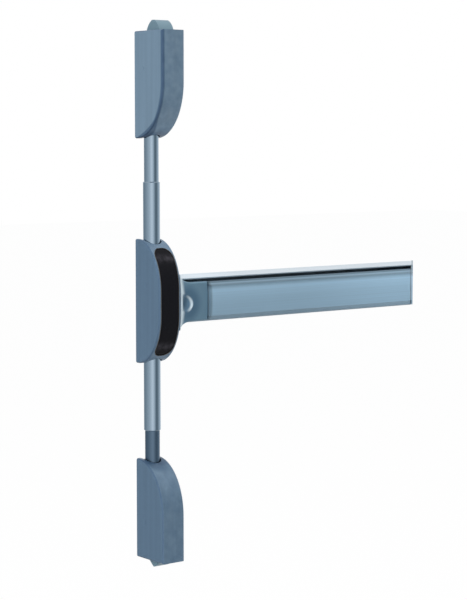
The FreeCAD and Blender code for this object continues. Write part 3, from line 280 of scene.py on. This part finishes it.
class Shader(Tree):
    """A procedural material round one principled shader."""

    def __init__(self, name, **values):
        self.material = bpy.data.materials.new(name)
        self.material.use_nodes = True
        super().__init__(self.material.node_tree)
        self.bsdf = self.tree.nodes["Principled BSDF"]
        for key, value in values.items():
            self.bsdf.inputs[key.replace("_", " ")].default_value = value

    def place(self, scale=(1, 1, 1)):
        """Object coordinates in metres, stretched by a scale."""
        source = self.node("ShaderNodeTexCoord")
        mapping = self.node("ShaderNodeMapping")
        mapping.inputs["Scale"].default_value = scale
        self.feed(source.outputs["Object"], mapping.inputs["Vector"])
        return mapping.outputs["Vector"]

    def facing_left(self):
        """How far a surface faces to -X, from -1 to 1."""
        normal = self.axes(self.node("ShaderNodeTexCoord").outputs["Normal"])
        return self.math("MULTIPLY", normal[0], -1.0)

    def noise(self, place, scale, detail=2.0, roughness=0.5):
        made = self.node("ShaderNodeTexNoise")
        made.inputs["Scale"].default_value = scale
        made.inputs["Detail"].default_value = detail
        made.inputs["Roughness"].default_value = roughness
        self.feed(place, made.inputs["Vector"])
        return made.outputs["Fac"]

    def blend(self, value, first, second):
        """Colour that goes from first to second with a value."""
        made = self.node("ShaderNodeMix", data_type="RGBA")
        self.feed(first if not isinstance(first, tuple) else (*first, 1), made.inputs["A"])
        self.feed((*second, 1), made.inputs["B"])
        self.feed(value, made.inputs["Factor"])
        return made.outputs["Result"]

    def toned(self, colour, tone, cool=0.0):
        """A colour multiplied by a tone, bluer where it is dark."""
        tones = self.node("ShaderNodeCombineXYZ")
        for socket, power in zip(tones.inputs, (1 + cool, 1.0, 1 - cool)):
            self.feed(self.math("POWER", tone, power), socket)
        made = self.node("ShaderNodeVectorMath", operation="MULTIPLY")
        self.feed(colour, made.inputs[0])
        self.feed(tones.outputs[0], made.inputs[1])
        return made.outputs[0]

    def finish(self, colour, roughness):
        self.feed(colour, self.bsdf.inputs["Base Color"])
        self.feed(roughness, self.bsdf.inputs["Roughness"])

    def bump(self, height, strength, distance):
        made = self.node("ShaderNodeBump")
        made.inputs["Strength"].default_value = strength
        made.inputs["Distance"].default_value = distance
        self.feed(height, made.inputs["Height"])
        self.feed(made.outputs["Normal"], self.bsdf.inputs["Normal"])


def shades(colour, shift):
    """A darker and a lighter shade of a colour."""
    return tuple(tuple(value * (1 + way * shift) for value in colour) for way in (-1, 1))


def painted_crease_shade(shader, place):
    """Painted shade that darkens the top case round its front left edge, widening into a painted
    shadow near the rod.
    """
    x, y, z = shader.axes(place)
    rise = shader.math("SUBTRACT", TOP_CASE_START + TOP_CURVE, z)
    share = shader.math("DIVIDE", rise, TOP_CURVE, clamp=True)
    square = shader.math("SUBTRACT", 1.0, shader.math("MULTIPLY", share, share))
    reach = shader.math("MULTIPLY", shader.math("SQRT", square), TOP_CASE_DEPTH - CASE_FOOT)
    behind = shader.math("ADD", shader.math("ADD", reach, CASE_FOOT), y)
    beside = shader.math("ADD", x, CASE_HALF_WIDTH)
    distance = shader.math("ADD", beside, behind)
    low = shader.mapped(z, CREASE_WIDEN, 0.0, TOP_CASE_START,
                        TOP_CASE_START + CREASE_WIDEN_HEIGHT, smooth=True)
    distance = shader.math("SUBTRACT", distance, low)
    dark = shader.mapped(distance, CREASE_TONE, 1.0, CREASE_START, CREASE_END, smooth=True)
    upper = shader.math("GREATER_THAN", z, TOP_CASE_START - CASE_SLACK)
    return shader.mapped(upper, 1.0, dark, 0.0, 1.0)


def end_case_tone(shader, place):
    """Tone of the end cases' curved fronts: a soft shadow round the rod, and faint clouds."""
    x, y, z = shader.axes(place)
    away = shader.distance(x, shader.math("ADD", y, ROD_DEPTH))
    shadow = shader.mapped(away, ROD_SHADE, 0.0, ROD_SHADE_START, ROD_SHADE_END, smooth=True)
    cloud = shader.mapped(shader.noise(place, CLOUD_SCALE, 2), CLOUD_SHADE, -CLOUD_SHADE)
    front = shader.mapped(shader.facing_left(), 1.0, 0.0, SIDE_START, SIDE_END, smooth=True)
    end_case = shader.math("GREATER_THAN", shader.math("ABSOLUTE", z), END_CASE_START)
    share = shader.math("MULTIPLY", front, end_case)
    return shader.math("SUBTRACT", 1.0,
                       shader.math("MULTIPLY", share, shader.math("ADD", shadow, cloud)))


def cover_painted_shade_and_cloud(shader, place):
    """Tone of the covers: painted shade on the rounded left edges and down the door, with the end
    cases' painted shadow and clouds and the top case's painted crease shade.
    """
    z = shader.axes(place)[2]
    left = shader.facing_left()
    turning = shader.mapped(left, 0.0, EDGE_SHADE, TURN_START, TURN_END, smooth=True)
    edge = shader.math("MULTIPLY", turning,
                       shader.mapped(left, 1.0, 0.0, TURN_FADE, SIDE_END, smooth=True))
    lower = shader.mapped(z, 1.0, 0.0, LOWER_START, LOWER_END, smooth=True)
    shade = shader.mapped(left, LOWER_SHADE, LOWER_SHADE + LOWER_SIDE_SHADE, SIDE_START,
                          SIDE_END, smooth=True)
    tone = shader.math("MULTIPLY", shader.math("SUBTRACT", 1.0, edge),
                       shader.math("SUBTRACT", 1.0, shader.math("MULTIPLY", lower, shade)))
    tone = shader.math("MULTIPLY", tone, end_case_tone(shader, place))
    return shader.math("MULTIPLY", tone, painted_crease_shade(shader, place))


def dish_distance(shader, place):
    """Distance across from the middle of the flare's dish, and distance away from it."""
    x, _, z = shader.axes(place)
    across = shader.math("SUBTRACT", x, DISH_MIDDLE[0])
    return across, shader.distance(across, shader.math("SUBTRACT", z, DISH_MIDDLE[1]))


def flare_painted_shade(shader, place):
    """Tone of the flare: painted shade in and round the dish."""
    away = dish_distance(shader, place)[1]
    return shader.mapped(away, DISH_SHADE, 1.0, DISH_SHADE_START, DISH_SHADE_END, smooth=True)


def flare_painted_highlight(shader, place):
    """Painted highlight on the flare: beside the case and on the dish's far side."""
    x, _, z = shader.axes(place)
    narrow = shader.math("MULTIPLY", shader.math("ABSOLUTE", z), FLARE_GLOW_NARROWING)
    glow = shader.mapped(shader.math("ADD", x, narrow), 1.0, 0.0, FLARE_GLOW_START,
                         FLARE_GLOW_END, smooth=True)
    across, away = dish_distance(shader, place)
    rim = shader.math("MULTIPLY", shader.mapped(away, 0.0, 1.0, *RIM_INSIDE, smooth=True),
                      shader.mapped(away, 1.0, 0.0, *RIM_OUTSIDE, smooth=True))
    far = shader.mapped(across, 0.0, DISH_GLOW, 0.0, DISH_GLOW_ACROSS, smooth=True)
    return shader.math("MAXIMUM", glow, shader.math("MULTIPLY", rim, far))


def lacquer(name, colour, shift, roughness, tone, shine=None):
    """Aluminium lacquer: fine flake, faint upright streaks in tone and a soft orange peel, with
    painted shade from its tone and a painted highlight from its shine.
    """
    shader = Shader(name, Metallic=0.5, Coat_Weight=0.15, Coat_Roughness=0.25)
    place = shader.place()
    darker, lighter = shades(colour, shift)
    flake = shader.mapped(shader.noise(place, FLAKE_SCALE, 3), 0, 0.5)
    streak = shader.mapped(shader.noise(shader.place(STREAK_STRETCH), 1, 3), 0, 0.5)
    base = shader.blend(shader.math("ADD", flake, streak), darker, lighter)
    rough = shader.mapped(shader.noise(place, GLOSS_SCALE, 2), roughness - GLOSS_SPREAD,
                          roughness + GLOSS_SPREAD)
    # Painted shade from the tone, bluer where dark, and a painted highlight from the shine
    base = shader.toned(base, tone(shader, place), DARK_COOLING)
    if shine:
        base = shader.blend(shine(shader, place), base, SHINE_COLOUR)
    shader.finish(base, rough)
    shader.bump(shader.noise(place, PEEL_SCALE, 2), 0.05, PEEL_DEPTH)
    return shader.material


def pad_painted_light_and_shade(shader):
    """Tone of the pad: painted shade and highlight by height, a painted shadow beside the flare,
    and painted light to the hinge side.
    """
    x, _, z = shader.axes(shader.place())
    seam = shader.mapped(x, SEAM_TONE, 1.0, SEAM_START, SEAM_END, smooth=True)
    far = shader.mapped(x, 1.0, PAD_FAR_TONE, PAD_FAR_START, PAD_FAR_END, smooth=True)
    return shader.math("MULTIPLY", shader.math("MULTIPLY", seam, far), shader.ramp(z, PAD_TONES))


def rail_painted_light(shader):
    """Tone of the rail: painted light beside the flare, which lifts the shade that falls there.
    """
    x = shader.axes(shader.place())[0]
    return shader.mapped(x, RAIL_NEAR_TONE, 1.0, RAIL_NEAR_START, RAIL_NEAR_END, smooth=True)


def drawn_metal(name, colour, shift, roughness, stretch, metallic=1.0, tone=None):
    """Drawn or extruded metal: fine lines along one axis, where the stretch is smallest."""
    shader = Shader(name, Metallic=metallic)
    darker, lighter = shades(colour, shift)
    grain = shader.noise(shader.place(stretch), 1, 4, 0.6)
    base = shader.blend(shader.mapped(grain, 0, 1), darker, lighter)
    # The tone paints light and shade onto the metal
    if tone:
        base = shader.toned(base, tone(shader))
    shader.finish(base, shader.mapped(grain, roughness - GRAIN_SPREAD, roughness + GRAIN_SPREAD))
    shader.bump(grain, 0.06, GRAIN_DEPTH)
    return shader.material


def plain_metal(name, colour, roughness, speckle, metallic=1.0):
    """Plated or ground steel with a faint grain."""
    shader = Shader(name, Metallic=metallic)
    grain = shader.noise(shader.place(), speckle, 4, 0.6)
    base = shader.blend(shader.mapped(grain, 0, 1), shades(colour, 0.12)[0], colour)
    shader.finish(base, shader.mapped(grain, roughness - GRAIN_SPREAD, roughness + 0.08))
    shader.bump(grain, 0.05, GRAIN_DEPTH)
    return shader.material


def black_plastic(name):
    """Smooth black moulding with a very fine texture."""
    shader = Shader(name, Specular_IOR_Level=0.07)
    place = shader.place()
    grain = shader.noise(place, 900, 3)
    base = shader.blend(grain, INSERT_DARK, INSERT_LIGHT)
    # Painted glints: lighter cloudy patches near both ends that stand in for reflections of the
    # light
    height = shader.math("ABSOLUTE", shader.axes(place)[2])
    glint = shader.math("MULTIPLY",
                       shader.mapped(height, 0.0, 1.0, GLINT_START, GLINT_MIDDLE, smooth=True),
                       shader.mapped(height, 1.0, 0.0, GLINT_MIDDLE, GLINT_END, smooth=True))
    cloud = shader.mapped(shader.noise(place, 160, 2), 0.0, 1.0)
    base = shader.blend(shader.math("MULTIPLY", glint, cloud), base, GLINT_COLOUR)
    shader.finish(base, shader.mapped(shader.noise(place, 40, 2), 0.2, 0.28))
    shader.bump(grain, 0.03, GRAIN_DEPTH)
    return shader.material


def make_materials():
    """Every finish by its slot: name, colour, shift in shade or roughness, and grain."""
    return {
        "case_finish": lacquer("case_lacquer", (0.213, 0.31, 0.412), 0.1, 0.34, cover_painted_shade_and_cloud),
        "flare_finish": lacquer("flare_lacquer", (0.175, 0.295, 0.39), 0.05, 0.34, flare_painted_shade,
                                flare_painted_highlight),
        "rod_finish": drawn_metal("rod_tube", (0.44, 0.55, 0.66), 0.04, 0.14, DRAWN_ALONG_Z),
        # Painted shade: the lower inner rod is darker and flatter than the other rods
        "shaded_rod_finish": drawn_metal("rod_painted_shade", (0.16, 0.235, 0.325), 0.06, 0.42,
                                       DRAWN_ALONG_Z),
        "rail_finish": drawn_metal("rail_extrusion", (0.56, 0.66, 0.74), 0.04, 0.3,
                                   DRAWN_ALONG_X, 0.8, rail_painted_light),
        "pad_finish": drawn_metal("pad_extrusion", (0.43, 0.63, 0.79), 0.05, 0.34,
                                  DRAWN_ALONG_X, 0.5, pad_painted_light_and_shade),
        "black_insert": black_plastic("insert_black"),
        "bolt_steel": plain_metal("bolt_plate", (0.25, 0.375, 0.45), 0.34, 700, 0.6),
        "plated_steel": plain_metal("zinc_plate", (0.42, 0.44, 0.46), 0.38, 300),
        "nylon": plain_metal("nylon", (0.70, 0.70, 0.66), 0.5, 400, 0.0),
        "spring_steel": plain_metal("spring_wire", (0.30, 0.31, 0.32), 0.3, 900),
        "screw_steel": plain_metal("screw_plate", (0.40, 0.43, 0.46), 0.32, 900),
        "pin_steel": plain_metal("ground_pin", (0.40, 0.41, 0.43), 0.28, 1200),
    }


def dress_nodes(materials):
    """Gives every node the material of its slot in the record, and smooth curved faces."""
    for part in frame["record"]["subparts"]:
        mesh = nodes[part["node"]].data
        slot = OWN_FINISH.get(part["node"], part["material_slot"])
        mesh.materials.clear()
        mesh.materials.append(materials[slot])
        mesh.polygons.foreach_set("use_smooth", [True] * len(mesh.polygons))
        mesh.set_sharp_from_angle(angle=SMOOTH_ANGLE)


def centre_front(z):
    """Depth of the centre case's front at a height."""
    past = max(abs(z) - CENTRE_FLAT_HALF, 0.0) / (CENTRE_HALF_HEIGHT - CENTRE_FLAT_HALF)
    return CASE_FOOT + (CENTRE_DEPTH - CASE_FOOT) * math.sqrt(1 - past * past)


def rounded_loop(half_width, half_height, corner, steps):
    """Closed rounded rectangle, with points along its long sides as well."""
    points = []
    centre_x = half_width - corner
    centre_z = half_height - corner
    for side_x, side_z, start in ((1, 1, 0), (-1, 1, 90), (-1, -1, 180), (1, -1, 270)):
        for step in range(steps + 1):
            angle = math.radians(start + 90 * step / steps)
            points.append((side_x * centre_x + corner * math.cos(angle),
                           side_z * centre_z + corner * math.sin(angle)))
        if start in (90, 270):
            for step in range(1, steps * 2):
                share = step / (steps * 2)
                points.append((side_x * half_width, side_z * centre_z * (1 - 2 * share)))
    return points


def make_bezel(material):
    """Thin bead round the insert, on the curved front of the centre cover."""
    loop = [Vector((x, BEZEL_SINK - centre_front(z), z)) for x, z in
            rounded_loop(INSERT_HALF_WIDTH, INSERT_HALF_HEIGHT, INSERT_CORNER,
                         BEZEL_CORNER_STEPS)]
    count = len(loop)
    vertices = []
    for index, middle in enumerate(loop):
        ahead = (loop[(index + 1) % count] - loop[index - 1]).normalized()
        across = ahead.cross(Vector((0, -1, 0))).normalized()
        out = across.cross(ahead)
        for side in range(BEZEL_SIDES):
            angle = 2 * math.pi * side / BEZEL_SIDES
            vertices.append(middle + (across * math.cos(angle) + out * math.sin(angle))
                            * BEZEL_RADIUS)
    faces = []
    for index in range(count):
        here = index * BEZEL_SIDES
        following = (index + 1) % count * BEZEL_SIDES
        for side in range(BEZEL_SIDES):
            beyond = (side + 1) % BEZEL_SIDES
            faces.append((here + side, here + beyond, following + beyond, following + side))
    mesh = bpy.data.meshes.new("insert_bezel")
    mesh.from_pydata(vertices, [], faces)
    mesh.polygons.foreach_set("use_smooth", [True] * len(faces))
    mesh.materials.append(material)
    bezel = bpy.data.objects.new("insert_bezel", mesh)
    bpy.context.scene.collection.objects.link(bezel)
    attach(bezel, "frame")


def make_springs(material):
    """Coils that stand for the CAD springs and ride with their joint's parent."""
    for joint in frame["record"]["behaviour"]["joints"]:
        for spring in joint.get("deforming_nodes", []):
            name = spring["node"]
            letter = spring["mode"][-1]
            index = "xyz".index(letter)
            axis, anchor = Vector(), Vector()
            axis[index] = 1.0
            anchor[index] = spring["fixed_end_" + letter + "_m"]
            coil = bpy.data.objects.new(name + "_coil", nodes[name].data.copy())
            coil.data.materials.clear()
            coil.data.materials.append(material)
            bpy.context.scene.collection.objects.link(coil)
            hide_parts(name)
            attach(coil, joint["parent"])
            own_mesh(coil)


def make_world():
    """White background, a plain pale light, and the studio's dark flags in reflections only."""
    world = bpy.data.worlds.new("studio")
    bpy.context.scene.world = world
    world.use_nodes = True
    world.node_tree.nodes.clear()
    sky = Tree(world.node_tree)
    path = sky.node("ShaderNodeLightPath")
    x, y, z = sky.axes(sky.node("ShaderNodeTexCoord").outputs["Generated"])
    azimuth = sky.math("ARCTAN2", x, sky.math("MULTIPLY", y, -1.0))
    level = sky.ramp(sky.math("DEGREES", azimuth), REFLECTED, COOL_SHADE)
    down = sky.math("MULTIPLY", z, -1.0)
    for steep, brightness in ((z, HIGH_BRIGHTNESS), (down, LOW_BRIGHTNESS)):
        reflected = sky.node("ShaderNodeMix", data_type="RGBA")
        sky.feed(sky.mapped(steep, 0.0, 1.0, STEEP_START, STEEP_END, smooth=True),
                 reflected.inputs["Factor"])
        sky.feed(level, reflected.inputs["A"])
        reflected.inputs["B"].default_value = (brightness, brightness, brightness, 1)
        level = reflected.outputs["Result"]
    white = sky.node("ShaderNodeBackground")
    light = sky.node("ShaderNodeBackground")
    shine = sky.node("ShaderNodeBackground")
    white.inputs["Color"].default_value = WHITE
    light.inputs["Color"].default_value = WORLD_COLOUR
    light.inputs["Strength"].default_value = WORLD_LIGHT
    sky.feed(level, shine.inputs["Color"])
    seen = sky.math("MAXIMUM", path.outputs["Is Camera Ray"], path.outputs["Is Transmission Ray"])
    for_metal = sky.node("ShaderNodeMixShader")
    for_all = sky.node("ShaderNodeMixShader")
    sky.feed(path.outputs["Is Glossy Ray"], for_metal.inputs["Fac"])
    sky.feed(light.outputs[0], for_metal.inputs[1])
    sky.feed(shine.outputs[0], for_metal.inputs[2])
    sky.feed(seen, for_all.inputs["Fac"])
    sky.feed(for_metal.outputs[0], for_all.inputs[1])
    sky.feed(white.outputs[0], for_all.inputs[2])
    output = sky.node("ShaderNodeOutputWorld")
    sky.feed(for_all.outputs[0], output.inputs["Surface"])


def make_floor():
    """Floor below the object: white to the camera, plain to the light, absent in reflections."""
    half = FLOOR_SIZE / 2
    corners = [(-half, -half, FLOOR_HEIGHT), (half, -half, FLOOR_HEIGHT),
               (half, half, FLOOR_HEIGHT), (-half, half, FLOOR_HEIGHT)]
    mesh = bpy.data.meshes.new("floor")
    mesh.from_pydata(corners, [], [(0, 1, 2, 3)])
    floor = bpy.data.objects.new("floor", mesh)
    bpy.context.scene.collection.objects.link(floor)
    shader = Shader("floor", Base_Color=FLOOR_COLOUR, Roughness=FLOOR_ROUGHNESS)
    glow = shader.node("ShaderNodeEmission")
    path = shader.node("ShaderNodeLightPath")
    mix = shader.node("ShaderNodeMixShader")
    shader.feed(shader.math("MULTIPLY", path.outputs["Is Camera Ray"], FLOOR_WHITE),
                mix.inputs["Fac"])
    shader.feed(shader.bsdf.outputs[0], mix.inputs[1])
    shader.feed(glow.outputs[0], mix.inputs[2])
    shader.feed(mix.outputs[0], shader.tree.nodes["Material Output"].inputs["Surface"])
    mesh.materials.append(shader.material)
    floor.visible_glossy = False


def make_lights():
    """Soft lamps that don't show in reflections, where the world's ramp stands for them."""
    for name, place, size, power in LAMPS:
        data = bpy.data.lights.new(name, "AREA")
        data.shape = "RECTANGLE"
        data.size, data.size_y = size
        data.energy = power
        light = bpy.data.objects.new(name, data)
        bpy.context.scene.collection.objects.link(light)
        light.visible_glossy = False
        light.location = place
        light.rotation_euler = (Vector(place) - LAMP_AIM).to_track_quat("Z", "Y").to_euler()


bpy.context.scene.view_settings.view_transform = "Standard"
make_camera()
make_world()
make_floor()
make_lights()
finishes = make_materials()
dress_nodes(finishes)
make_springs(finishes["spring_steel"])
make_bezel(plain_metal("bezel_plate", BEZEL_COLOUR, 0.35, 900))
